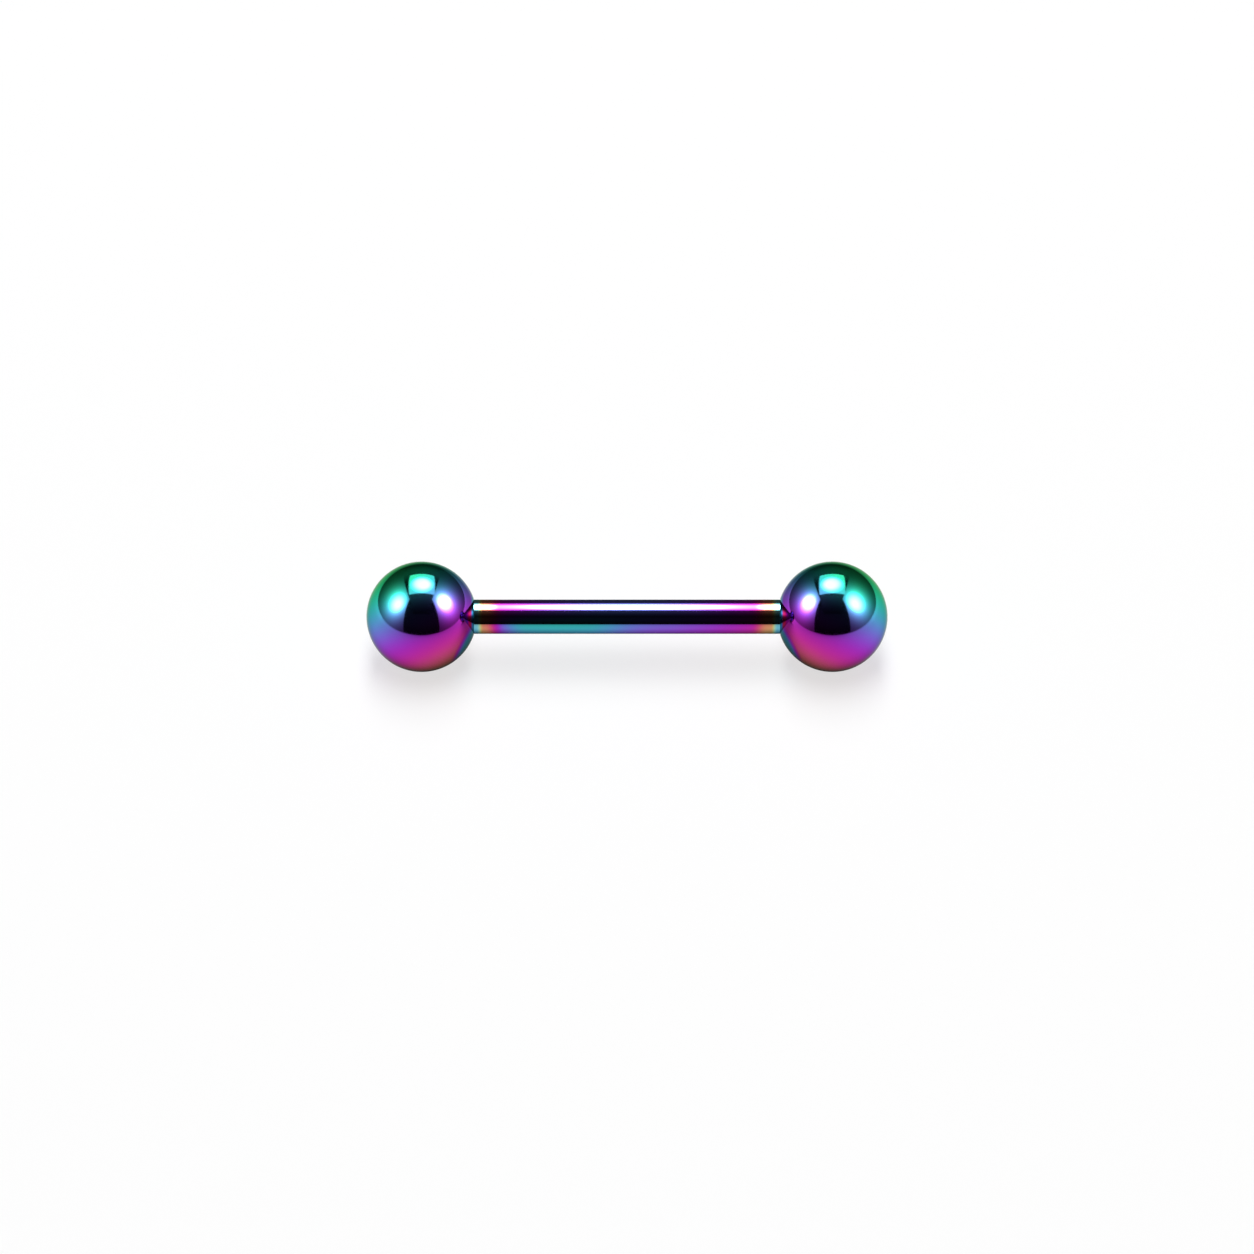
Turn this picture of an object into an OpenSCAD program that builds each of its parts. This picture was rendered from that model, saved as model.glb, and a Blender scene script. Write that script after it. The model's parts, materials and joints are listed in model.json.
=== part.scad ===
// Straight piercing barbell: a tapped shank and two balls, each with a threaded post that screws into it.
// It lies along X on the table at Z = 0, with the middle of its shank over the origin.

/* [Shank] */
// Diameter of the smooth shank, which is 14 gauge
shank_d = 1.55; // [1.5:0.05:1.8]
// Length of the shank from one ball's seat to the other's
shank_len = 14; // [6:1:38]
// Radius rolled on the edge of each end, so that it slips through the skin
shank_edge_r = 0.1; // [0.06:0.01:0.11]

/* [Thread] */
// Major diameter of the thread on each post
thread_d = 1.2; // [1:0.05:1.2]
// Pitch of the thread
thread_pitch = 0.25; // [0.2:0.05:0.3]
// Length of each post from the ball's seat to its tip
post_len = 2; // [1.5:0.1:2.4]

/* [Balls] */
// Diameter of each ball
ball_d = 5; // [4:0.5:8]
// Depth of the recess in each ball that the end of the shank sits in
recess_depth = 0.08; // [0.04:0.01:0.12]

/* [Hidden] */

shank_r = shank_d / 2;
ball_r = ball_d / 2;
axis_z = ball_r;

// The recess clears the shank by a hair, and the ball stays round right up to the mouth of the recess.
recess_r = shank_r + 0.025;
seat_to_centre = sqrt(ball_r * ball_r - recess_r * recess_r) - recess_depth;

// Metric 60 degree thread: an eighth of the pitch is flat at the crest and a quarter at the root.
thread_r = thread_d / 2;
thread_depth = 0.5413 * thread_pitch;
root_r = thread_r - thread_depth;
crest_share = 1 / 8;
root_share = 1 / 4;
outline_points = 16;
slices_per_turn = 12;

// A plain neck parts the thread from the seat, and both ends of the thread are chamfered.
neck_len = 0.15;
neck_r = root_r - 0.03;
tip_gap = 0.05;

// Each hole in the shank clears the crests of the thread, and goes deeper than the post.
hole_r = thread_r + 0.015;
hole_depth = post_len + 0.2;
countersink = 0.03;
drill_point = 118;

overlap = 0.1;

// Share of the thread's depth that is cut away, at a share of one turn round from the root's middle.
function cut_share(turn) =
    let (from_crest = abs(turn - 0.5))
    let (flank = 0.5 - crest_share / 2 - root_share / 2)
    max(0, min(1, (from_crest - crest_share / 2) / flank));

// Outline of a single-start thread, cut square to its axis.
function thread_outline() = [
    for (i = [0 : outline_points - 1])
    let (turn = i / outline_points)
    let (r = thread_r - thread_depth * cut_share(turn))
    [r * cos(360 * turn), r * sin(360 * turn)]
];

// Right-hand thread of a length, with square ends.
module thread_blank(length) {
    turns = length / thread_pitch;
    linear_extrude(height = length, twist = -360 * turns, slices = ceil(turns * slices_per_turn))
        polygon(thread_outline());
}

// Cylinder with a cone at each end, which trims the thread's run-out and its lead-in.
module thread_envelope(length) {
    outer_r = thread_r + overlap;
    cone_len = thread_depth + overlap;
    rotate_extrude($fn = 96)
        polygon([
            [0, 0],
            [root_r, 0],
            [outer_r, cone_len],
            [outer_r, length - cone_len],
            [root_r, length],
            [0, length]
        ]);
}

// The threaded post along +Z, from inside the ball's seat at Z = 0 to its tip.
module post() {
    thread_len = post_len - neck_len;
    translate([0, 0, -overlap])
        cylinder(r = neck_r, h = post_len + overlap - tip_gap, $fn = 96);
    translate([0, 0, neck_len])
        intersection() {
            thread_blank(thread_len);
            thread_envelope(thread_len);
        }
}

// The tapped hole for a post, along +Z from its mouth at Z = 0, at the clearance of the thread.
module post_hole() {
    mouth_r = hole_r + countersink + overlap;
    cylinder(r = hole_r, h = hole_depth, $fn = 96);
    translate([0, 0, hole_depth])
        cylinder(r1 = hole_r, r2 = 0, h = hole_r / tan(drill_point / 2), $fn = 96);
    translate([0, 0, -overlap])
        cylinder(r1 = mouth_r, r2 = hole_r, h = countersink + overlap, $fn = 96);
}

// The smooth rod along Z, with a round edge at each end.
module rod() {
    edge_z = shank_len / 2 - shank_edge_r;
    rotate_extrude($fn = 128) {
        translate([0, -shank_len / 2])
            square([shank_r - shank_edge_r, shank_len]);
        translate([0, -edge_z])
            square([shank_r, 2 * edge_z]);
        for (end = [-1, 1])
            translate([shank_r - shank_edge_r, end * edge_z])
                circle(r = shank_edge_r, $fn = 48);
    }
}

// The shank, tapped at both ends.
module bar() {
    color("mediumorchid")
    translate([0, 0, axis_z])
    rotate([0, 90, 0])
    difference() {
        rod();
        translate([0, 0, -shank_len / 2])
            post_hole();
        translate([0, 0, shank_len / 2])
            rotate([180, 0, 0])
            post_hole();
    }
}

// One ball along +Z, with its seat, the floor of the recess, at Z = 0 and its post below the seat.
module ball() {
    difference() {
        translate([0, 0, seat_to_centre])
            sphere(r = ball_r, $fn = 160);
        translate([0, 0, -ball_r])
            cylinder(r = recess_r, h = ball_r, $fn = 128);
    }
    rotate([180, 0, 0])
        post();
}

module ball_right() {
    color("rebeccapurple")
    translate([shank_len / 2, 0, axis_z])
    rotate([0, 90, 0])
        ball();
}

module ball_left() {
    color("rebeccapurple")
    translate([-shank_len / 2, 0, axis_z])
    rotate([0, -90, 0])
        ball();
}

bar();
ball_left();
ball_right();
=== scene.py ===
# %% [markdown]
# A straight piercing barbell, made as a lesson in turned metal
#
# The real jewel is three pieces of polished steel. The shank is a smooth rod with a tapped hole in each
# end. Each ball has a short threaded post that screws into the shank. A film of metal oxide, thinner than
# a soap bubble, gives the mirror finish its colours: gold where it is thin, then magenta, violet and blue,
# and green where it is thickest. Sizes are in metres, so MM turns a size in millimetres into Blender's
# units.

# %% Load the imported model
import json
import math

import bmesh
import bpy
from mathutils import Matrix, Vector


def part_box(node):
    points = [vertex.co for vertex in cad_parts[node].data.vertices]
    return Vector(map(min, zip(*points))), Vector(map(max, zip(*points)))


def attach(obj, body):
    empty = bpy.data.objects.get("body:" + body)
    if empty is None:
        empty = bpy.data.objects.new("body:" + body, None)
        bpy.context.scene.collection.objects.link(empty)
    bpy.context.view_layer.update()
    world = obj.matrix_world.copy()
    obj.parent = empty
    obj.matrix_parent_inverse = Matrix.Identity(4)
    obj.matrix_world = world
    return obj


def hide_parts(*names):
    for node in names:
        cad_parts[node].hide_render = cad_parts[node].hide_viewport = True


MM = 0.001

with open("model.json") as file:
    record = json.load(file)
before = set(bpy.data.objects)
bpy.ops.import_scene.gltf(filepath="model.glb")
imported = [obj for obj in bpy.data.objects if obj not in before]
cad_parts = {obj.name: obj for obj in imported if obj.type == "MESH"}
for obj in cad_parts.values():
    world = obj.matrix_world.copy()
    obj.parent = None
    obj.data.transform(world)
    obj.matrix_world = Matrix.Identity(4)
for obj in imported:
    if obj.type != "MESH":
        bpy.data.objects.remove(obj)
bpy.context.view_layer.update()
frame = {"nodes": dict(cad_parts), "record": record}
print("CAD nodes:", sorted(frame["nodes"]))

# %% [markdown]
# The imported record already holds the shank's radius, length and height above the table. The barbell lies
# on its balls, so the height of its axis is also the radius of a ball. Each ball has a shallow recess
# that the end of the shank sits in, so that it looks round right up to the shank. The recess clears the
# shank by a hair, and its depth says how far the ball's centre lies beyond the shank's end. Everything
# else follows from these.

# %% Take the sizes from the frame
RECESS_GAP = 0.025 * MM
RECESS_DEPTH = 0.08 * MM

shank = frame["record"]["mounts"][0]
shank_r = shank["dims"]["r_mm"] * MM
shank_end = shank["dims"]["length_mm"] * MM / 2
axis_z = shank["pos_m"][2]

ball_r = axis_z
recess_r = shank_r + RECESS_GAP
ball_x = shank_end + math.sqrt(ball_r ** 2 - recess_r ** 2) - RECESS_DEPTH
print(f"shank {2 * shank_r / MM:.2f} mm across and {2 * shank_end / MM:.1f} mm long")
print(f"balls {2 * ball_r / MM:.1f} mm across, their centres {ball_x / MM:.2f} mm from the middle")

# %% [markdown]
# The photo looks down at the barbell at about 39 degrees, square to the shank, from far enough away that
# both balls look alike. A long lens does that here. The picture is 1254 pixels wide and shows 22.1 pixels
# to the millimetre, which gives the width that the lens must cover. The barbell sits 10 pixels above the
# middle of the picture, so the camera aims that much below the axis instead of using lens shift.

# %% Place the camera
PICTURE_PX = 1254
PX_PER_MM = 22.11
ABOVE_MIDDLE_PX = 10.3
DISTANCE = 0.6
ELEVATION = math.radians(39)
NEAREST_SEEN = 0.01

picture_width = PICTURE_PX / PX_PER_MM * MM
to_camera = Vector((0, -math.cos(ELEVATION), math.sin(ELEVATION)))
picture_up = Vector((0, math.sin(ELEVATION), math.cos(ELEVATION)))
aim = Vector((0, 0, axis_z)) - picture_up * (ABOVE_MIDDLE_PX / PX_PER_MM * MM)

camera_data = bpy.data.cameras.new("camera")
camera_data.lens = camera_data.sensor_width * DISTANCE / picture_width
camera_data.clip_start = NEAREST_SEEN
camera = bpy.data.objects.new("camera", camera_data)
camera.location = aim + to_camera * DISTANCE
camera.rotation_euler = (math.pi / 2 - ELEVATION, 0, 0)
bpy.context.scene.collection.objects.link(camera)
bpy.context.scene.camera = camera
print(f"lens {camera_data.lens:.0f} mm, picture {picture_width / MM:.1f} mm wide")

# %% [markdown]
# Operators work on whatever is selected, and the CAD nodes are still selected after loading. These small
# helpers keep each step honest: clear the selection, pick faces or edges by a test in code, and put a
# finished object's place into its mesh so that patterns stay still on it.

# %% Helpers for selecting and finishing
def start_fresh():
    """Leaves edit mode and deselects every object."""
    if bpy.context.object and bpy.context.object.mode == "EDIT":
        bpy.ops.object.mode_set(mode="OBJECT")
    bpy.ops.object.select_all(action="DESELECT")


def make_active(piece):
    start_fresh()
    piece.select_set(True)
    bpy.context.view_layer.objects.active = piece


def select_in_edit(piece, kind, test):
    """Selects the vertices, edges or faces whose test is true, in edit mode, and says how many."""
    bpy.ops.mesh.select_mode(type=kind)
    bpy.ops.mesh.select_all(action="DESELECT")
    mesh = bmesh.from_edit_mesh(piece.data)
    parts = {"VERT": mesh.verts, "EDGE": mesh.edges, "FACE": mesh.faces}[kind]
    chosen = [part for part in parts if test(part)]
    for part in chosen:
        part.select_set(True)
    mesh.select_flush_mode()
    bmesh.update_edit_mesh(piece.data)
    return len(chosen)


def place_in_mesh(piece, name):
    make_active(piece)
    bpy.ops.object.transform_apply(location=True, rotation=True, scale=True)
    piece.name = name
    piece.data.name = name
    print(f"{name}: {len(piece.data.polygons)} faces")

# %% [markdown]
# Three helpers do the cutting. The first gives a piece a modifier and makes it final at once. The second
# faces off an end with a plane, as a saw would, and closes the cut. The third joins, cuts or trims one
# solid with another. Its exact solver is slower than the fast one, but it copes with threads that nearly
# touch. Points closer than a hundredth of a micrometre count as the same and are merged after each cut.

# %% Helpers that cut
SAME_POINT = 1e-8
SPECK_SIDES = 8


def apply_modifier(piece, kind, **settings):
    make_active(piece)
    modifier = piece.modifiers.new(kind.lower(), kind)
    for setting, value in settings.items():
        setattr(modifier, setting, value)
    bpy.ops.object.modifier_apply(modifier=modifier.name)


def cut_flat(cut_at, outward):
    """In edit mode, faces off what lies beyond a plane across X and closes the cut."""
    bpy.ops.mesh.select_all(action="SELECT")
    bpy.ops.mesh.bisect(
        plane_co=(cut_at, 0, 0), plane_no=(outward, 0, 0),
        use_fill=True, clear_outer=True, threshold=SAME_POINT,
    )


def cut_with(piece, tool, operation):
    """Joins, cuts or trims a piece with a tool, which is used up, and closes specks along the cut."""
    apply_modifier(piece, "BOOLEAN", operation=operation, object=tool, solver="EXACT")
    bpy.data.objects.remove(tool)
    bpy.ops.object.mode_set(mode="EDIT")
    bpy.ops.mesh.select_mode(type="VERT")
    bpy.ops.mesh.select_all(action="SELECT")
    bpy.ops.mesh.remove_doubles(threshold=SAME_POINT)
    bpy.ops.mesh.fill_holes(sides=SPECK_SIDES)
    bpy.ops.object.mode_set(mode="OBJECT")

# %% [markdown]
# A lathe turns a bar against a tool that follows an outline. In Blender the same shape is an outline of a
# few edges, spun once round the axis. The outline starts as a plane whose four corners are merged to a
# single vertex, and each further point is an extrusion of the last one, as it would be drawn by hand. It
# lies in the XZ plane: X is along the axis and Z is the radius.

# %% Helper that turns a solid on the X axis
def draw_outline(name, points):
    """A new object that holds a chain of edges through (along the axis, radius) points."""
    start_fresh()
    bpy.ops.mesh.primitive_plane_add(size=MM, location=(0, 0, 0))
    piece = bpy.context.object
    piece.name = name
    bpy.ops.object.mode_set(mode="EDIT")
    bpy.ops.mesh.select_mode(type="VERT")
    bpy.ops.mesh.select_all(action="SELECT")
    bpy.ops.mesh.merge(type="CENTER")
    along, radius = points[0]
    bpy.ops.transform.translate(value=(along, 0, radius))
    for next_along, next_radius in points[1:]:
        step = (next_along - along, 0, next_radius - radius)
        bpy.ops.mesh.extrude_vertices_move(TRANSFORM_OT_translate={"value": step})
        along, radius = next_along, next_radius
    bpy.ops.object.mode_set(mode="OBJECT")
    return piece


LATHE_STEPS = 96


def turn_on_lathe(name, points, steps=LATHE_STEPS):
    """A closed solid of revolution about X, from an outline that starts and ends on the axis."""
    piece = draw_outline(name, points)
    bpy.ops.object.mode_set(mode="EDIT")
    bpy.ops.mesh.select_all(action="SELECT")
    bpy.ops.mesh.spin(steps=steps, angle=math.tau, center=(0, 0, 0), axis=(1, 0, 0), use_auto_merge=True)
    bpy.ops.mesh.select_all(action="SELECT")
    bpy.ops.mesh.remove_doubles(threshold=SAME_POINT)
    bpy.ops.mesh.normals_make_consistent(inside=False)
    bpy.ops.object.mode_set(mode="OBJECT")
    return piece

# %% [markdown]
# The thread is metric, M1.2 with a pitch of 0.25 mm. Its section over one pitch is a trapezium: a flat
# root a quarter of the pitch wide, a 60 degree flank, a narrow crest and the other flank. The Screw
# modifier carries that section round and along at once. It runs a turn past both ends, where bisect cuts
# it square and closes it, because a helix has no flat end of its own. One function makes both the post's
# thread and, a hair larger, the tap that cuts the hole.

# %% Helper that makes a length of thread
THREAD_R = 0.6 * MM
PITCH = 0.25 * MM
THREAD_DEPTH = 0.5413 * PITCH
CREST_SHARE = 1 / 8
ROOT_SHARE = 1 / 4
TURN_STEPS = 64


def cut_thread(name, start, end, seat, wider=0.0):
    """A right-hand thread about X from start to end, in step with all others that have the same seat."""
    crest = THREAD_R + wider
    root = crest - THREAD_DEPTH
    flank = (1 - CREST_SHARE - ROOT_SHARE) / 2 * PITCH
    first = seat - (math.ceil((seat - start) / PITCH) + 1) * PITCH
    turns = math.ceil((end - first) / PITCH) + 1
    section = [
        (first, root),
        (first + ROOT_SHARE * PITCH, root),
        (first + ROOT_SHARE * PITCH + flank, crest),
        (first + ROOT_SHARE * PITCH + flank + CREST_SHARE * PITCH, crest),
        (first + PITCH, root),
    ]
    piece = draw_outline(name, section)
    apply_modifier(
        piece, "SCREW", axis="X", angle=math.tau, screw_offset=PITCH, iterations=turns,
        steps=TURN_STEPS, render_steps=TURN_STEPS, use_merge_vertices=True, merge_threshold=SAME_POINT,
    )
    make_active(piece)
    bpy.ops.object.mode_set(mode="EDIT")
    for cut_at, outward in ((start, -1), (end, 1)):
        cut_flat(cut_at, outward)
    bpy.ops.mesh.select_all(action="SELECT")
    bpy.ops.mesh.remove_doubles(threshold=SAME_POINT)
    bpy.ops.mesh.normals_make_consistent(inside=False)
    bpy.ops.object.mode_set(mode="OBJECT")
    return piece

# %% [markdown]
# A real post is turned first and threaded second. So is this one: the blank has a plain neck beside the
# seat, where the threading tool runs out, and a chamfer at its tip, where the thread starts. The thread
# is then cut to the blank's form by keeping only what both have in common. The post is made on the X axis
# with its seat at zero, and points towards minus X, as it does on the right ball.

# %% Turn and thread the post
POST_LEN = shank_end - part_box("ball_right")[0].x
NECK_LEN = 0.15 * MM
NECK_R = THREAD_R - THREAD_DEPTH - 0.03 * MM
INSIDE_BALL = 0.1 * MM
CLEAR = 0.1 * MM


def make_post():
    root = THREAD_R - THREAD_DEPTH
    outer = THREAD_R + CLEAR
    cone = THREAD_DEPTH + CLEAR
    blank = turn_on_lathe("post_blank", [
        (INSIDE_BALL, 0),
        (INSIDE_BALL, NECK_R),
        (-NECK_LEN, NECK_R),
        (-NECK_LEN - cone, outer),
        (-POST_LEN + cone, outer),
        (-POST_LEN, root),
        (-POST_LEN, 0),
    ])
    thread = cut_thread("post_thread", -POST_LEN - CLEAR, 2 * INSIDE_BALL, seat=0)
    cut_with(blank, thread, "INTERSECT")
    return blank


post = make_post()
print(f"post {POST_LEN / MM:.2f} mm long, {len(post.data.polygons)} faces")

# %% [markdown]
# A ball like this is turned from bar stock, so this one is turned too. A sphere primitive would be
# quicker, but its recess would have to be cut by a boolean, which leaves a ragged lip just where the
# light catches it. The outline runs round the ball from the far pole to the mouth of the recess, rolls
# over a lip of a few hundredths, goes down the recess and ends in the middle of its floor.

# %% Helper that draws the outline of a ball
BALL_ARC_STEPS = 120
LIP_R = 0.03 * MM
LIP_STEPS = 6


def ball_outline():
    """Points (along the axis, radius) from the far pole to the recess, whose floor is at zero."""
    centre = ball_x - shank_end
    lip_radius = recess_r + LIP_R
    lip_centre = centre - math.sqrt((ball_r - LIP_R) ** 2 - lip_radius ** 2)
    lip_angle = math.asin(lip_radius / (ball_r - LIP_R))
    points = []
    for step in range(BALL_ARC_STEPS + 1):
        angle = math.pi + (lip_angle - math.pi) * step / BALL_ARC_STEPS
        points.append((centre - ball_r * math.cos(angle), ball_r * math.sin(angle)))
    for step in range(1, LIP_STEPS + 1):
        angle = lip_angle + (-math.pi / 2 - lip_angle) * step / LIP_STEPS
        points.append((lip_centre - LIP_R * math.cos(angle), lip_radius + LIP_R * math.sin(angle)))
    points[0] = (centre + ball_r, 0)
    return points + [(0, recess_r), (0, 0)]

# %% [markdown]
# Each ball is one solid with its post, joined by a union. Both balls are the same part, so the left one is
# a copy turned half round the upright axis. Turning, not mirroring, keeps its thread right-handed.

# %% Turn the balls
BALL_TURN_STEPS = 224


def make_ball(name):
    """The right ball, with its place in its mesh."""
    ball = turn_on_lathe("ball", ball_outline(), steps=BALL_TURN_STEPS)
    cut_with(ball, post.copy(), "UNION")
    ball.location = (shank_end, 0, axis_z)
    place_in_mesh(ball, name)
    return ball


def turned_half_round(ball, name):
    """A copy of a ball, with its own mesh, turned half a turn about the upright axis of the barbell."""
    make_active(ball)
    bpy.ops.object.duplicate()
    copy = bpy.context.object
    copy.rotation_euler = (0, 0, math.pi)
    place_in_mesh(copy, name)
    return copy


ball_right = make_ball("screw_ball_right")
ball_left = turned_half_round(ball_right, "screw_ball_left")
bpy.data.objects.remove(post)

# %% [markdown]
# Each end of the shank has a hole for a post, made as in the workshop: first a drill with a countersink
# and a pointed end, then a tap, which is the post's own thread a hair wider. Cutting the hole with the
# thread itself means that the two are sure to fit.

# %% Helper that drills and taps an end
PLAY = 0.015 * MM
HOLE_DEPTH = POST_LEN + 0.2 * MM
TAP_DEPTH = POST_LEN + 0.05 * MM
COUNTERSINK = 0.03 * MM
MOUTH_R = THREAD_R + PLAY + COUNTERSINK
DRILL_POINT = math.radians(118)


def drill_and_tap(rod):
    """Cuts the tapped hole in the end of the rod at +X."""
    drill_r = THREAD_R + PLAY - THREAD_DEPTH
    point_len = drill_r / math.tan(DRILL_POINT / 2)
    drill = turn_on_lathe("drill", [
        (shank_end + CLEAR, 0),
        (shank_end + CLEAR, MOUTH_R + CLEAR),
        (shank_end - (MOUTH_R - drill_r), drill_r),
        (shank_end - HOLE_DEPTH, drill_r),
        (shank_end - HOLE_DEPTH - point_len, 0),
    ])
    cut_with(rod, drill, "DIFFERENCE")
    tap = cut_thread("tap", shank_end - TAP_DEPTH, shank_end + CLEAR, seat=shank_end, wider=PLAY)
    cut_with(rod, tap, "DIFFERENCE")

# %% [markdown]
# The shank is a ground and polished rod. A cylinder with a bevel of a tenth of a millimetre on its end
# edges gives the rounded shoulder that shows as a small glint beside each ball. Drill and tap stay where
# they are, at one end, and the rod is turned end for end between the two holes, as in a lathe.

# %% Make the shank
SHANK_SEGMENTS = 256
SHOULDER = 0.1 * MM
SHOULDER_STEPS = 8
ENDS = 2


def make_shank(name):
    start_fresh()
    bpy.ops.mesh.primitive_cylinder_add(
        vertices=SHANK_SEGMENTS, radius=shank_r, depth=2 * shank_end, rotation=(0, math.pi / 2, 0),
    )
    rod = bpy.context.object
    bpy.ops.object.transform_apply(location=True, rotation=True, scale=True)
    bpy.ops.object.mode_set(mode="EDIT")
    select_in_edit(rod, "EDGE", lambda edge: abs(edge.verts[0].co.x - edge.verts[1].co.x) < SAME_POINT)
    bpy.ops.mesh.bevel(offset=SHOULDER, segments=SHOULDER_STEPS, affect="EDGES")
    bpy.ops.object.mode_set(mode="OBJECT")
    for _ in range(ENDS):
        drill_and_tap(rod)
        rod.rotation_euler = (0, 0, math.pi)
        make_active(rod)
        bpy.ops.object.transform_apply(location=True, rotation=True, scale=True)
    rod.location = (0, 0, axis_z)
    place_in_mesh(rod, name)
    return rod


bar = make_shank("tapped_shank")

# %% [markdown]
# Polished turned metal is smooth round the curve and crisp at each real edge. Shade Smooth by Angle does
# both at once, from the angle between neighbouring faces.

# %% Shade the pieces
SMOOTH_UNDER = math.radians(28)

for piece in (bar, ball_left, ball_right):
    make_active(piece)
    bpy.ops.object.shade_smooth_by_angle(angle=SMOOTH_UNDER)

# %% [markdown]
# Every finish here is worked out from a place on the piece. Object coordinates give that place, and Math
# nodes do the sums. Wiring each node by hand would bury the idea, so each helper here makes a node, feeds
# its inputs and hands back its result. A step then reads like a line of arithmetic.

# %% Helpers for node trees
def feed(tree, socket, value):
    """Wires a socket to another socket, or sets it to a plain value."""
    if isinstance(value, bpy.types.NodeSocket):
        tree.links.new(value, socket)
    else:
        socket.default_value = value


def calculate(tree, operation, *values):
    node = tree.nodes.new("ShaderNodeMath")
    node.operation = operation
    for socket, value in zip(node.inputs, values):
        feed(tree, socket, value)
    return node.outputs["Value"]


def calculate_vector(tree, operation, *values, scale=None):
    node = tree.nodes.new("ShaderNodeVectorMath")
    node.operation = operation
    for socket, value in zip(node.inputs, values):
        feed(tree, socket, value)
    if scale is not None:
        feed(tree, node.inputs["Scale"], scale)
    gives_number = operation in ("DOT_PRODUCT", "LENGTH")
    return node.outputs["Value" if gives_number else "Vector"]


def ease(tree, value, edges, ends):
    """Moves smoothly from one end to the other while the value passes from the first edge to the second."""
    step = tree.nodes.new("ShaderNodeMapRange")
    step.interpolation_type = "SMOOTHSTEP"
    for socket, number in zip(("From Min", "From Max", "To Min", "To Max"), (*edges, *ends)):
        step.inputs[socket].default_value = number
    feed(tree, step.inputs["Value"], value)
    return step.outputs["Result"]


def place_on_piece(tree):
    """The place on the piece, whole and as separate x, y and z."""
    place = tree.nodes.new("ShaderNodeTexCoord").outputs["Object"]
    split = tree.nodes.new("ShaderNodeSeparateXYZ")
    feed(tree, split.inputs["Vector"], place)
    return place, split.outputs["X"], split.outputs["Y"], split.outputs["Z"]

# %% [markdown]
# No real surface is quite even. A Noise texture with a grain size in metres gives a small swing to either
# side of zero, which can be added to anything: the thickness of a film, a roughness or a height. Packing
# the grain closer along one axis makes it look drawn out along the others.

# %% Helper for uneven surfaces
SPECKLE_DETAIL = 3.0


def speckle(tree, place, grain, amount, packing=(1, 1, 1)):
    """Noise of a grain size in metres that swings by the amount to either side of zero."""
    noise = tree.nodes.new("ShaderNodeTexNoise")
    noise.inputs["Detail"].default_value = SPECKLE_DETAIL
    noise.inputs["Scale"].default_value = 1 / grain
    feed(tree, noise.inputs["Vector"], calculate_vector(tree, "MULTIPLY", place, packing))
    centred = calculate(tree, "SUBTRACT", noise.outputs["Fac"], 0.5)
    return calculate(tree, "MULTIPLY", centred, 2 * amount)

# %% [markdown]
# The colours are not paint. Light that bounces off the top of the clear oxide film meets light that has
# gone through it and back, and the extra path decides which colours add up and which cancel. Each of red,
# green and blue swings like a cosine of that path over its own wavelength. So one number for the path
# gives the whole rainbow in the right order, from pale blue through gold, pink, violet and blue to green,
# and a smooth change of film gives smooth colour. A colour ramp could only copy the few colours that were
# picked for it.

# %% Helper that turns film path into colour
WAVELENGTHS_NM = (670, 522, 437)
FILM_DARKEST = (0.024, 0.022, 0.125)
FILM_BRIGHTEST = (0.58, 0.53, 0.56)
FILM_CONTRAST = 1.25


def film_colour(tree, path_nm):
    """The mirror's colour under a film through which light travels this much further, in nanometres."""
    turns = tuple(math.tau / wavelength for wavelength in WAVELENGTHS_NM)
    swing = calculate_vector(tree, "COSINE", calculate_vector(tree, "SCALE", turns, scale=path_nm))
    share = calculate_vector(tree, "MULTIPLY_ADD", swing, (0.5, 0.5, 0.5), (0.5, 0.5, 0.5))
    contrast = tree.nodes.new("ShaderNodeGamma")
    contrast.inputs["Gamma"].default_value = FILM_CONTRAST
    feed(tree, contrast.inputs["Color"], share)
    span = tuple(bright - dark for bright, dark in zip(FILM_BRIGHTEST, FILM_DARKEST))
    return calculate_vector(tree, "MULTIPLY_ADD", contrast.outputs["Color"], span, FILM_DARKEST)

# %% [markdown]
# Both films lie on the same polished steel, so they share one mirror shader. Metallic is full, and the
# base colour is the film's. Specular Tint darkens the last few degrees before the rim, where a real film
# loses its sheen. The polish is not perfect: roughness wanders a little, and a very faint bump keeps long
# reflections from being ruled straight. The bump's grain can be packed closer along one axis, for marks
# that run round a turned rod. Lean tips the surface's normals up before the bump is added. It is for the
# shank, whose bands of light sit a hair lower in the photo than a true cylinder shows them, as polishing
# by hand takes a little off one side.

# %% Helper that makes a mirror under a film
RIM_TINT = (0.50, 0.57, 0.48)
POLISH_ROUGHNESS = 0.08
POLISH_WANDER = 0.012
POLISH_GRAIN = 0.9 * MM


def film_material(name, path_of, mark_grain, mark_packing, mark_height, lean=0.0):
    """Polished steel under a film whose path comes from path_of, with fine polishing marks."""
    material = bpy.data.materials.new(name)
    material.use_nodes = True
    tree = material.node_tree
    shader = tree.nodes["Principled BSDF"]
    shader.inputs["Metallic"].default_value = 1.0
    shader.inputs["Specular Tint"].default_value = (*RIM_TINT, 1)
    feed(tree, shader.inputs["Base Color"], film_colour(tree, path_of(tree)))
    place = place_on_piece(tree)[0]
    wander = speckle(tree, place, POLISH_GRAIN, POLISH_WANDER)
    feed(tree, shader.inputs["Roughness"], calculate(tree, "ADD", wander, POLISH_ROUGHNESS))
    marks = tree.nodes.new("ShaderNodeBump")
    marks.inputs["Strength"].default_value = 1.0
    marks.inputs["Distance"].default_value = 1.0
    feed(tree, marks.inputs["Height"], speckle(tree, place, mark_grain, mark_height, mark_packing))
    facing = tree.nodes.new("ShaderNodeNewGeometry").outputs["Normal"]
    leaning = calculate_vector(tree, "NORMALIZE", calculate_vector(tree, "ADD", facing, (0, 0, lean)))
    feed(tree, marks.inputs["Normal"], leaning)
    feed(tree, shader.inputs["Normal"], marks.outputs["Normal"])
    return material

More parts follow.
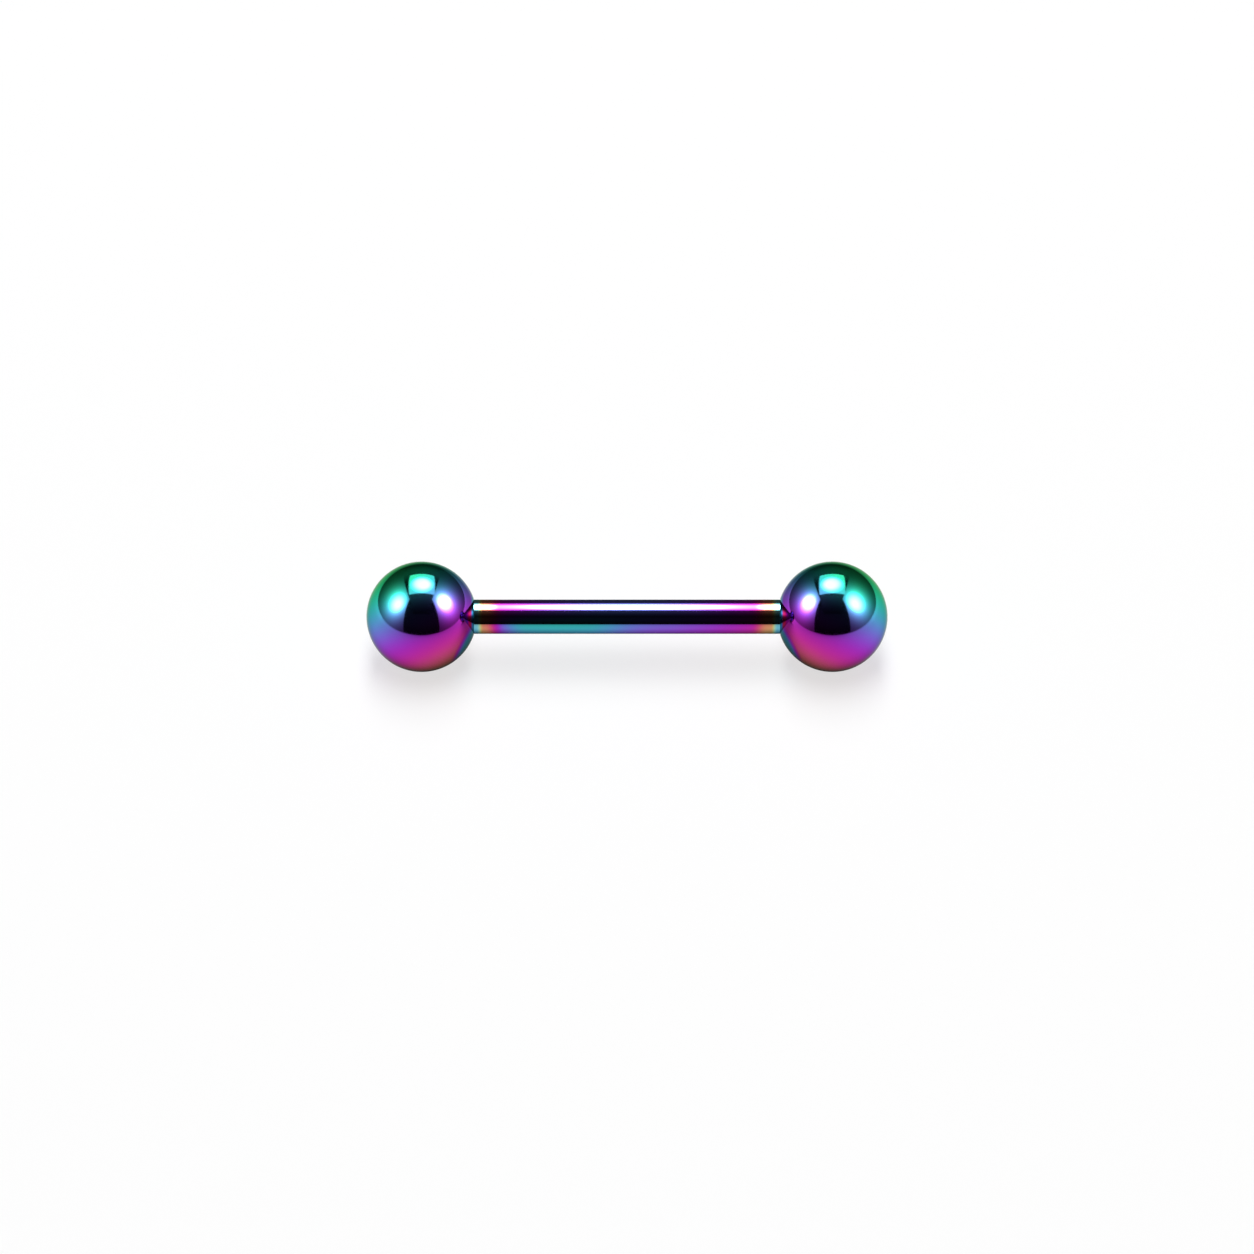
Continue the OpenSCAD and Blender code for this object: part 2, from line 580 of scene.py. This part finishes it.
# %% [markdown]
# On each ball the film grows steadily in one direction, up, back and away from the shank: that side faced
# the glow in the coating chamber. The path is then a plane through the ball, a dot product of the place
# with a fixed arrow. Two places reach a thickness of their own: a patch low on the side towards the
# shank, and a narrow ring round the recess. The colour gets there from magenta by way of violet and blue
# and ends in teal, the order of a growing path, so both blend to a longer one. Taking the absolute value
# of x lets one material serve both balls, mirrored, as in the photo.

# %% Film on the balls
BALL_PATH_NM = 861
BALL_PATH_GROWTH_NM = Vector((83, 90, 131))
THICK_SIDE = Vector((-0.88, -0.33, -0.34))
THICK_EDGES = (0.85, 0.96)
SEAT_RING_MM = (0.02, 0.16)
THICK_PATH_NM = 935
BALL_MOTTLE_NM = 5
BALL_MOTTLE_GRAIN = 1.4 * MM
BALL_MARK_GRAIN = 0.25 * MM
BALL_MARK_HEIGHT = 4e-8


def ball_path(tree):
    place, x, y, z = place_on_piece(tree)
    outward = calculate(tree, "ABSOLUTE", x)
    mirrored = tree.nodes.new("ShaderNodeCombineXYZ")
    for socket, value in zip(mirrored.inputs, (outward, y, z)):
        feed(tree, socket, value)
    from_centre = calculate_vector(tree, "SUBTRACT", mirrored.outputs["Vector"], (ball_x, 0, axis_z))
    growth = calculate_vector(tree, "DOT_PRODUCT", from_centre, BALL_PATH_GROWTH_NM / ball_r)

    to_thick_side = calculate_vector(tree, "DOT_PRODUCT", from_centre, THICK_SIDE / ball_r)
    in_patch = ease(tree, to_thick_side, THICK_EDGES, (0, 1))

    mouth_x = shank_end - RECESS_DEPTH
    beyond_mouth = calculate(tree, "DIVIDE", calculate(tree, "SUBTRACT", outward, mouth_x), MM)
    in_ring = ease(tree, beyond_mouth, SEAT_RING_MM, (1, 0))

    path = calculate(tree, "ADD", growth, BALL_PATH_NM)
    short_by = calculate(tree, "SUBTRACT", THICK_PATH_NM, path)
    path = calculate(tree, "MULTIPLY_ADD", short_by, calculate(tree, "MAXIMUM", in_patch, in_ring), path)
    return calculate(tree, "ADD", path, speckle(tree, place, BALL_MOTTLE_GRAIN, BALL_MOTTLE_NM))


ball_film = film_material("ball_film", ball_path, BALL_MARK_GRAIN, (1, 1, 1), BALL_MARK_HEIGHT)
print(f"ball film: path {BALL_PATH_NM} nm at the middle of a ball, {len(ball_film.node_tree.nodes)} nodes")

# %% [markdown]
# The shank's film has a plan of its own. Along the top the path is longest in the middle and falls off as
# a gentle arch. The balls shaded the ends, so the last millimetre and a half has less film and the last
# half a good deal less: blue in the middle, then violet, pink, gold, and a thin teal ring at each end.

# %% Helper for the film along the top of the shank
BAR_PATH_NM = 890
BAR_ARCH_NM = 3.0
END_LOSS_NM = 102
END_EDGES_MM = (0.66, 1.45)
RING_LOSS_NM = 175
RING_EDGES_MM = (0.20, 0.50)


def path_along_top(tree, x_mm):
    arch = calculate(tree, "MULTIPLY", calculate(tree, "MULTIPLY", x_mm, x_mm), -BAR_ARCH_NM)
    from_end = calculate(tree, "SUBTRACT", shank_end / MM, calculate(tree, "ABSOLUTE", x_mm))
    end_loss = ease(tree, from_end, END_EDGES_MM, (-END_LOSS_NM, 0))
    ring_loss = ease(tree, from_end, RING_EDGES_MM, (-RING_LOSS_NM, 0))
    path = calculate(tree, "ADD", arch, BAR_PATH_NM)
    return calculate(tree, "ADD", path, calculate(tree, "ADD", end_loss, ring_loss))

# %% [markdown]
# The front carries more film over the left half, which turns violet to teal there. The gain rises near the
# left ball, falls slowly along the shank and ends just past the middle. It blends into the top by height,
# which is counted in radii above the axis, and the underside loses a little again.

# %% Helper for the film along the front of the shank
FRONT_GAIN_NM = 51
FRONT_GAIN_SLOPE_NM = -20
FRONT_RISE_MM = (-6.9, -4.5)
FRONT_FALL_MM = (-1.7, 1.5)
FRONT_LOSS_NM = 12
FRONT_UP_TO = (0.15, 0.9)
UNDERSIDE_LOSS_NM = 40


def gain_along_front(tree, x_mm, height):
    rise = ease(tree, x_mm, FRONT_RISE_MM, (0, 1))
    fall = ease(tree, x_mm, FRONT_FALL_MM, (1, 0))
    gain = calculate(tree, "MULTIPLY_ADD", x_mm, FRONT_GAIN_SLOPE_NM, FRONT_GAIN_NM)
    gain = calculate(tree, "MULTIPLY", gain, calculate(tree, "MULTIPLY", rise, fall))
    gain = calculate(tree, "SUBTRACT", gain, FRONT_LOSS_NM)
    gain = calculate(tree, "MULTIPLY", gain, ease(tree, height, FRONT_UP_TO, (1, 0)))
    below = calculate(tree, "MAXIMUM", calculate(tree, "SUBTRACT", FRONT_UP_TO[0], height), 0.0)
    return calculate(tree, "MULTIPLY_ADD", below, -UNDERSIDE_LOSS_NM, gain)

# %% [markdown]
# The two are added up, with a faint mottle. The polishing marks run round the rod, because it turned while
# it was polished, and its normals get their lean.

# %% Film on the shank
SHANK_LEAN = 0.128
BAR_MOTTLE_NM = 4
BAR_MOTTLE_GRAIN = 1.1 * MM
BAR_MARK_GRAIN = 0.5 * MM
BAR_MARK_HEIGHT = 1.5e-8
MARKS_ROUND_THE_ROD = (12, 1, 1)


def bar_path(tree):
    place, x, _, z = place_on_piece(tree)
    x_mm = calculate(tree, "DIVIDE", x, MM)
    height = calculate(tree, "DIVIDE", calculate(tree, "SUBTRACT", z, axis_z), shank_r)
    path = calculate(tree, "ADD", path_along_top(tree, x_mm), gain_along_front(tree, x_mm, height))
    return calculate(tree, "ADD", path, speckle(tree, place, BAR_MOTTLE_GRAIN, BAR_MOTTLE_NM))


bar_film = film_material(
    "bar_film", bar_path, BAR_MARK_GRAIN, MARKS_ROUND_THE_ROD, BAR_MARK_HEIGHT, lean=SHANK_LEAN,
)
print(f"shank film: path {BAR_PATH_NM} nm in the middle, {len(bar_film.node_tree.nodes)} nodes")

# %% [markdown]
# The coating glow does not reach down a hole or into a thread, so the post and the tapped holes are bare
# steel with the marks of the tool that cut them: fine rings round the axis, a few hundredths apart. The
# steel has a faint stain. A Mix node keeps a set of sockets for each kind of value, so the ones for
# colours are named here by their number.

# %% Helper that makes bare steel
STEEL = (0.50, 0.47, 0.44)
STEEL_STAIN = (0.34, 0.28, 0.22)
STAIN_GRAIN = 0.3 * MM
STAIN_SHARE = 0.3
STAIN_SWING = 0.8
STEEL_ROUGHNESS = 0.24
COLOUR_A, COLOUR_B, COLOUR_RESULT = 6, 7, 2
TOOL_MARK_WIDTH = 0.02 * MM
TOOL_MARK_DEPTH = 3e-7
TOOL_MARK_ROUGHNESS = 0.05


def steel_material(name):
    material = bpy.data.materials.new(name)
    material.use_nodes = True
    tree = material.node_tree
    shader = tree.nodes["Principled BSDF"]
    shader.inputs["Metallic"].default_value = 1.0
    place, x, _, _ = place_on_piece(tree)
    stain = tree.nodes.new("ShaderNodeMix")
    stain.data_type = "RGBA"
    patches = calculate(tree, "ADD", speckle(tree, place, STAIN_GRAIN, STAIN_SWING), STAIN_SHARE)
    feed(tree, stain.inputs["Factor"], patches)
    stain.inputs[COLOUR_A].default_value = (*STEEL, 1)
    stain.inputs[COLOUR_B].default_value = (*STEEL_STAIN, 1)
    feed(tree, shader.inputs["Base Color"], stain.outputs[COLOUR_RESULT])
    rings = calculate(tree, "SINE", calculate(tree, "MULTIPLY", x, math.tau / TOOL_MARK_WIDTH))
    roughness = calculate(tree, "MULTIPLY_ADD", rings, TOOL_MARK_ROUGHNESS, STEEL_ROUGHNESS)
    feed(tree, shader.inputs["Roughness"], roughness)
    marks = tree.nodes.new("ShaderNodeBump")
    marks.inputs["Strength"].default_value = 1.0
    marks.inputs["Distance"].default_value = 1.0
    feed(tree, marks.inputs["Height"], calculate(tree, "MULTIPLY", rings, TOOL_MARK_DEPTH))
    feed(tree, shader.inputs["Normal"], marks.outputs["Normal"])
    return material

# %% [markdown]
# Each piece gets two materials, and all of its faces start with the first, the film. The bare ones are
# then picked in code and given the second. They lie near the axis and short of the shank's ends, so the
# shank's end faces, the floor of each recess and the far side of each ball keep their film.

# %% Put the finishes on the pieces
def finish_piece(piece, film, bare, core_r):
    """Film outside, and bare steel on faces nearer the axis than core_r, short of the shank's ends."""
    piece.data.materials.clear()
    piece.data.materials.append(film)
    piece.data.materials.append(bare)
    make_active(piece)
    bpy.ops.object.mode_set(mode="EDIT")

    def is_bare(face):
        middle = face.calc_center_median()
        return abs(middle.x) < shank_end - SAME_POINT and math.hypot(middle.y, middle.z - axis_z) < core_r

    count = select_in_edit(piece, "FACE", is_bare)
    piece.active_material_index = 1
    bpy.ops.object.material_slot_assign()
    bpy.ops.object.mode_set(mode="OBJECT")
    print(f"{piece.name}: {count} faces of bare steel")


bare_steel = steel_material("bare_steel")
finish_piece(bar, bar_film, bare_steel, MOUTH_R)
finish_piece(ball_left, ball_film, bare_steel, THREAD_R + SAME_POINT)
finish_piece(ball_right, ball_film, bare_steel, THREAD_R + SAME_POINT)

# %% [markdown]
# The set is a jeweller's light table: a matt white sheet that glows a little from below, so that shadows
# stay pale. A real one is a sheet of opal acrylic over lamps. The photo shows it twice, and not the same.
# Seen directly, the sheet was cleaned up to an even white with a pale shadow. The balls still mirror the
# sheet as it was: brightest out to the sides, dimmer to the front, nearly dark far behind, and in shadow
# beside the balls and under the shank. So there are two glows, and Light Path tells the rays that come
# off a mirror from the others. The glow that the mirrors see is painted light and painted shadow: it
# stands for how the lamps lit the sheet and how the jewel shaded it. This first part is the painted light
# on the empty sheet.

# %% Helper that paints the light over the sheet
MIDDLE_PAINTED_LIGHT = 1.12
SIDE_PAINTED_LIGHT = 1.36
SIDE_EDGES_MM = (20, 55)
FRONT_REACH_MM = 60
FRONT_FADE = 0.75
BACK_REACH_MM = 10
BACK_SPREAD = 0.9
BACK_FADE = 2.0
HAZE_PAINTED_LIGHT = 0.05


def fade(tree, distance, reach, power):
    """One at no distance, a half at the reach, and less beyond, the faster the higher the power."""
    lost = calculate(tree, "POWER", calculate(tree, "DIVIDE", distance, reach), power)
    return calculate(tree, "DIVIDE", 1.0, calculate(tree, "ADD", lost, 1.0))


def spread_of_light(tree):
    """How the set's light lies on the empty sheet."""
    _, x, y, _ = place_on_piece(tree)
    side_mm = calculate(tree, "ABSOLUTE", calculate(tree, "DIVIDE", x, MM))
    back_mm = calculate(tree, "DIVIDE", y, MM)
    front_mm = calculate(tree, "MULTIPLY", back_mm, -1.0)
    peak = ease(tree, side_mm, SIDE_EDGES_MM, (MIDDLE_PAINTED_LIGHT, SIDE_PAINTED_LIGHT))
    to_front = fade(tree, calculate(tree, "MAXIMUM", front_mm, 0.0), FRONT_REACH_MM, FRONT_FADE)
    back_reach = calculate(tree, "MULTIPLY_ADD", side_mm, BACK_SPREAD, BACK_REACH_MM)
    to_back = fade(tree, calculate(tree, "MAXIMUM", back_mm, 0.0), back_reach, BACK_FADE)
    glow = calculate(tree, "MULTIPLY", peak, calculate(tree, "MULTIPLY", to_front, to_back))
    return calculate(tree, "ADD", glow, HAZE_PAINTED_LIGHT)

# %% [markdown]
# The mirrored sheet gets a painted shadow under the jewel. Ambient Occlusion finds how much of the sky the
# jewel hides from each spot of the sheet, so this shadow goes with the pieces when they move. The shank's
# own deeper shadow is painted as a bell across its axis.

# %% Helper that shades the sheet under the jewel
CONTACT_REACH = 6 * MM
CONTACT_SAMPLES = 12
OPEN_EDGES = (0.15, 0.95)
SHANK_SHADOW = 0.5
SHANK_SHADOW_WIDTH = 2.5 * MM
SHANK_SHADOW_ENDS = (7.5 * MM, 10 * MM)


def bell(tree, value, width):
    """One where the value is zero, falling away to nothing over a few widths on both sides."""
    widths = calculate(tree, "DIVIDE", value, width)
    squared = calculate(tree, "MULTIPLY", widths, widths)
    return calculate(tree, "EXPONENT", calculate(tree, "MULTIPLY", squared, -1.0))


def left_open(tree):
    """The share of the light that the jewel lets through to the sheet."""
    sky = tree.nodes.new("ShaderNodeAmbientOcclusion")
    sky.samples = CONTACT_SAMPLES
    sky.inputs["Distance"].default_value = CONTACT_REACH
    open_sky = ease(tree, sky.outputs["AO"], OPEN_EDGES, (0, 1))
    _, x, y, _ = place_on_piece(tree)
    beside = ease(tree, calculate(tree, "ABSOLUTE", x), SHANK_SHADOW_ENDS, (SHANK_SHADOW, 0))
    shadow = calculate(tree, "MULTIPLY", bell(tree, y, SHANK_SHADOW_WIDTH), beside)
    return calculate(tree, "MULTIPLY", open_sky, calculate(tree, "SUBTRACT", 1.0, shadow))

# %% [markdown]
# The sheet is one large plane, and its edge lies outside the picture. Its surface is dead matt, because
# the photo shows no mirror image of the jewel in it. Choose puts the two glows on the two kinds of ray.

# %% Lay the light table
TABLE_SIZE = 6
TABLE_WHITE = 0.25
TABLE_GLOW = 0.69


def choose(tree, switch, off, on):
    """The value called off where the switch is zero, and the one called on where it is one."""
    node = tree.nodes.new("ShaderNodeMix")
    for socket, value in zip(node.inputs, (switch, None, off, on)):
        if value is not None:
            feed(tree, socket, value)
    return node.outputs["Result"]


start_fresh()
bpy.ops.mesh.primitive_plane_add(size=TABLE_SIZE, location=(0, 0, 0))
floor = bpy.context.object
floor.name = "light_table"
table_sheet = bpy.data.materials.new("opal_sheet")
table_sheet.use_nodes = True
sheet = table_sheet.node_tree
sheet_shader = sheet.nodes["Principled BSDF"]
sheet_shader.inputs["Roughness"].default_value = 1.0
sheet_shader.inputs["Specular IOR Level"].default_value = 0.0
sheet_shader.inputs["Emission Color"].default_value = (1, 1, 1, 1)
in_mirror = sheet.nodes.new("ShaderNodeLightPath").outputs["Is Glossy Ray"]
# Painted light and painted shadow: the glow the mirrors see stands for the lamps' light on the sheet and
# the jewel's shadow on it.
painted_light_and_shade = calculate(sheet, "MULTIPLY", spread_of_light(sheet), left_open(sheet))
feed(sheet, sheet_shader.inputs["Base Color"], choose(sheet, in_mirror, TABLE_WHITE, 0.0))
feed(sheet, sheet_shader.inputs["Emission Strength"], choose(sheet, in_mirror, TABLE_GLOW, painted_light_and_shade))
floor.data.materials.append(table_sheet)
print(f"table sheet {TABLE_SIZE} m wide, glow {TABLE_GLOW}")

# %% [markdown]
# A mirror shows its lights, so their shapes matter more than their power. A soft box is a lamp behind
# white cloth, and the lamp makes a hot core and a wide halo on it. Here each one is a card whose glow falls
# away from the lamp's place in the same way. A core has to be very bright to burn out to white under a dark
# film. Seen in one mirror by way of another it would glare, so Light Path counts the mirrors and the second
# one gets a fifth of it. The cards light the polished metal only and throw no shadow: the table has its own
# lamp.

# %% Helper that hangs a glowing card
HALO_FALL = -1.7
SECOND_MIRROR = 0.2
ROUND_THE_PLANE = (0, 1, 3, 2)


def glowing_card(name, corners, lamp, spread, core=0.0, halo=0.0, cloth=0.0):
    """A card with a bright core and a wide halo round its lamp, spread out along x, y and z."""
    start_fresh()
    bpy.ops.mesh.primitive_plane_add(size=1)
    card = bpy.context.object
    card.name = name
    for vertex, corner in zip(ROUND_THE_PLANE, corners):
        card.data.vertices[vertex].co = corner
    material = bpy.data.materials.new(name)
    material.use_nodes = True
    tree = material.node_tree
    tree.nodes.clear()
    place = tree.nodes.new("ShaderNodeTexCoord").outputs["Object"]
    away = calculate_vector(tree, "DIVIDE", calculate_vector(tree, "SUBTRACT", place, lamp), spread)
    away = calculate_vector(tree, "DOT_PRODUCT", away, away)
    in_halo = calculate(tree, "POWER", calculate(tree, "ADD", away, 1.0), HALO_FALL)
    strength = calculate(tree, "MULTIPLY_ADD", bell(tree, away, 1.0), core, cloth)
    strength = calculate(tree, "MULTIPLY_ADD", in_halo, halo, strength)
    mirrors = tree.nodes.new("ShaderNodeLightPath").outputs["Glossy Depth"]
    strength = calculate(tree, "MULTIPLY", strength, ease(tree, mirrors, (1, 2), (1, SECOND_MIRROR)))
    glow = tree.nodes.new("ShaderNodeEmission")
    output = tree.nodes.new("ShaderNodeOutputMaterial")
    feed(tree, glow.inputs["Strength"], strength)
    feed(tree, output.inputs["Surface"], glow.outputs["Emission"])
    card.data.materials.append(material)
    card.visible_camera = False
    card.visible_diffuse = False
    card.visible_shadow = False
    print(f"{name} hung")

# %% [markdown]
# The balls in the photo show a square soft box overhead and a long slanting panel on each side, with the
# dark room between them. The box starts just in front of the jewel and reaches far behind it, and a dim
# skirt before it gives the light that spills forward. Each panel stands on the table along its outer edge
# and leans in over the jewel, highest near the front. The two are twins, except that the right one's top
# and lamp are a little nearer, as its image in the balls shows.

# %% Hang the soft boxes
CARD_TOP = 0.6
BOX_HALF = 0.263
BOX_FRONT = -0.01
BOX_BACK = 0.705
BOX_LAMP_BACK = 0.262
BOX_SPREAD = (0.165, 0.185, 1)
SKIRT_FRONT = -0.6
SKIRT_SPREAD = (1, 0.25, 1)

glowing_card(
    "top_soft_box",
    [(-BOX_HALF, BOX_FRONT, CARD_TOP), (BOX_HALF, BOX_FRONT, CARD_TOP),
     (BOX_HALF, BOX_BACK, CARD_TOP), (-BOX_HALF, BOX_BACK, CARD_TOP)],
    lamp=(0, BOX_LAMP_BACK, CARD_TOP), spread=BOX_SPREAD, core=30, cloth=1.9,
)
glowing_card(
    "box_skirt",
    [(-BOX_HALF, SKIRT_FRONT, CARD_TOP), (BOX_HALF, SKIRT_FRONT, CARD_TOP),
     (BOX_HALF, BOX_FRONT, CARD_TOP), (-BOX_HALF, BOX_FRONT, CARD_TOP)],
    lamp=(0, BOX_FRONT, CARD_TOP), spread=SKIRT_SPREAD, halo=0.11,
)

PANEL_FOOT = 0.550
PANEL_FRONT = -0.765
PANEL_BACK = 1.6
PEAK_FRONT = -0.118
PEAK_HEIGHT = 0.554
BACK_TOP = 0.424
BACK_HEIGHT = 0.232
PANEL_LAMP_FRONT = -0.062
PANEL_LAMP_HEIGHT = 0.329
PANEL_SPREAD = (1, 0.129, 0.116)

for side, name, peak, lamp_side in (
    (-1, "left_panel", 0.248, 0.371),
    (1, "right_panel", 0.208, 0.345),
):
    glowing_card(
        name,
        [(side * PANEL_FOOT, PANEL_FRONT, 0), (side * peak, PEAK_FRONT, PEAK_HEIGHT),
         (side * BACK_TOP, PANEL_BACK, BACK_HEIGHT), (side * PANEL_FOOT, PANEL_BACK, 0)],
        lamp=(side * lamp_side, PANEL_LAMP_FRONT, PANEL_LAMP_HEIGHT), spread=PANEL_SPREAD,
        core=9, halo=14.5, cloth=0.064,
    )

# %% [markdown]
# In the photo the shadows are fairly crisp to the left and right of each ball, and long and soft towards
# the viewer. That is an oval lamp, narrow from side to side and a metre long from front to back, hung a
# little behind the jewel. It is hidden from reflections, where the soft boxes take its place.

# %% Hang the lamp for the table
LAMP_HEIGHT = 0.6
LAMP_BACK = 0.136
LAMP_WIDTH = 0.20
LAMP_LENGTH = 1.01
LAMP_WATTS = 5.9

start_fresh()
bpy.ops.object.light_add(type="AREA", location=(0, LAMP_BACK, LAMP_HEIGHT))
lamp = bpy.context.object
lamp.name = "table_lamp"
lamp.data.shape = "ELLIPSE"
lamp.data.size = LAMP_WIDTH
lamp.data.size_y = LAMP_LENGTH
lamp.data.energy = LAMP_WATTS
lamp.visible_glossy = False
print(f"oval lamp {LAMP_WIDTH} by {LAMP_LENGTH} m at {LAMP_HEIGHT} m")

# %% [markdown]
# The room is dark, with a faint haze of light on the back wall that thins out downwards. That is what
# gives the balls their black upper halves. Seen directly, behind the table's edge, such a room would be a
# black sky, so the camera alone sees a pale backdrop there: Light Path tells the world which rays come
# straight from the camera.

# %% Darken the room
ROOM_GLOW = 0.012
BACK_WALL_GLOW = 0.10
BACK_WALL_EDGES = (0.45, 0.80)
LOW_HAZE = 0.3
LOW_HAZE_EDGES = (0.0, 0.5)
BACKDROP = (0.80, 0.80, 0.80, 1)

world = bpy.data.worlds.new("studio_room")
bpy.context.scene.world = world
world.use_nodes = True
room = world.node_tree
room.nodes.clear()
direction = room.nodes.new("ShaderNodeSeparateXYZ")
feed(room, direction.inputs["Vector"], room.nodes.new("ShaderNodeTexCoord").outputs["Generated"])
dark_room = room.nodes.new("ShaderNodeBackground")
haze = ease(room, direction.outputs["Y"], BACK_WALL_EDGES, (ROOM_GLOW, BACK_WALL_GLOW))
higher_up = ease(room, direction.outputs["Z"], LOW_HAZE_EDGES, (LOW_HAZE, 1.0))
haze = calculate(room, "MULTIPLY", haze, higher_up)
feed(room, dark_room.inputs["Strength"], haze)
dark_room.inputs["Color"].default_value = (1, 1, 1, 1)
backdrop = room.nodes.new("ShaderNodeBackground")
backdrop.inputs["Color"].default_value = BACKDROP
seen_by = room.nodes.new("ShaderNodeMixShader")
feed(room, seen_by.inputs["Fac"], room.nodes.new("ShaderNodeLightPath").outputs["Is Camera Ray"])
feed(room, seen_by.inputs[1], dark_room.outputs["Background"])
feed(room, seen_by.inputs[2], backdrop.outputs["Background"])
world_output = room.nodes.new("ShaderNodeOutputWorld")
feed(room, world_output.inputs["Surface"], seen_by.outputs["Shader"])
print(f"room {ROOM_GLOW}, back wall {BACK_WALL_GLOW}")

# %% [markdown]
# Blender's usual view softens strong colours, much as film does. A catalogue photo shows them as they are,
# on an even white, so the Standard view is used here.

# %% Show the colours as they are
view = bpy.context.scene.view_settings
view.view_transform = "Standard"
view.look = "None"
print("view:", view.view_transform)

# %% [markdown]
# Last, each piece is tied to the body that it moves with and hides the plain solid that it stands for, and
# the finish that it belongs to is printed.

# %% Tie the pieces to their bodies
for piece, body, slot in (
    (bar, "bar", "bar_film"),
    (ball_left, "ball_left", "ball_film"),
    (ball_right, "ball_right", "ball_film"),
):
    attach(piece, body)
    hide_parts(body)
    print(f"{piece.name} rides on {body} in {slot}")
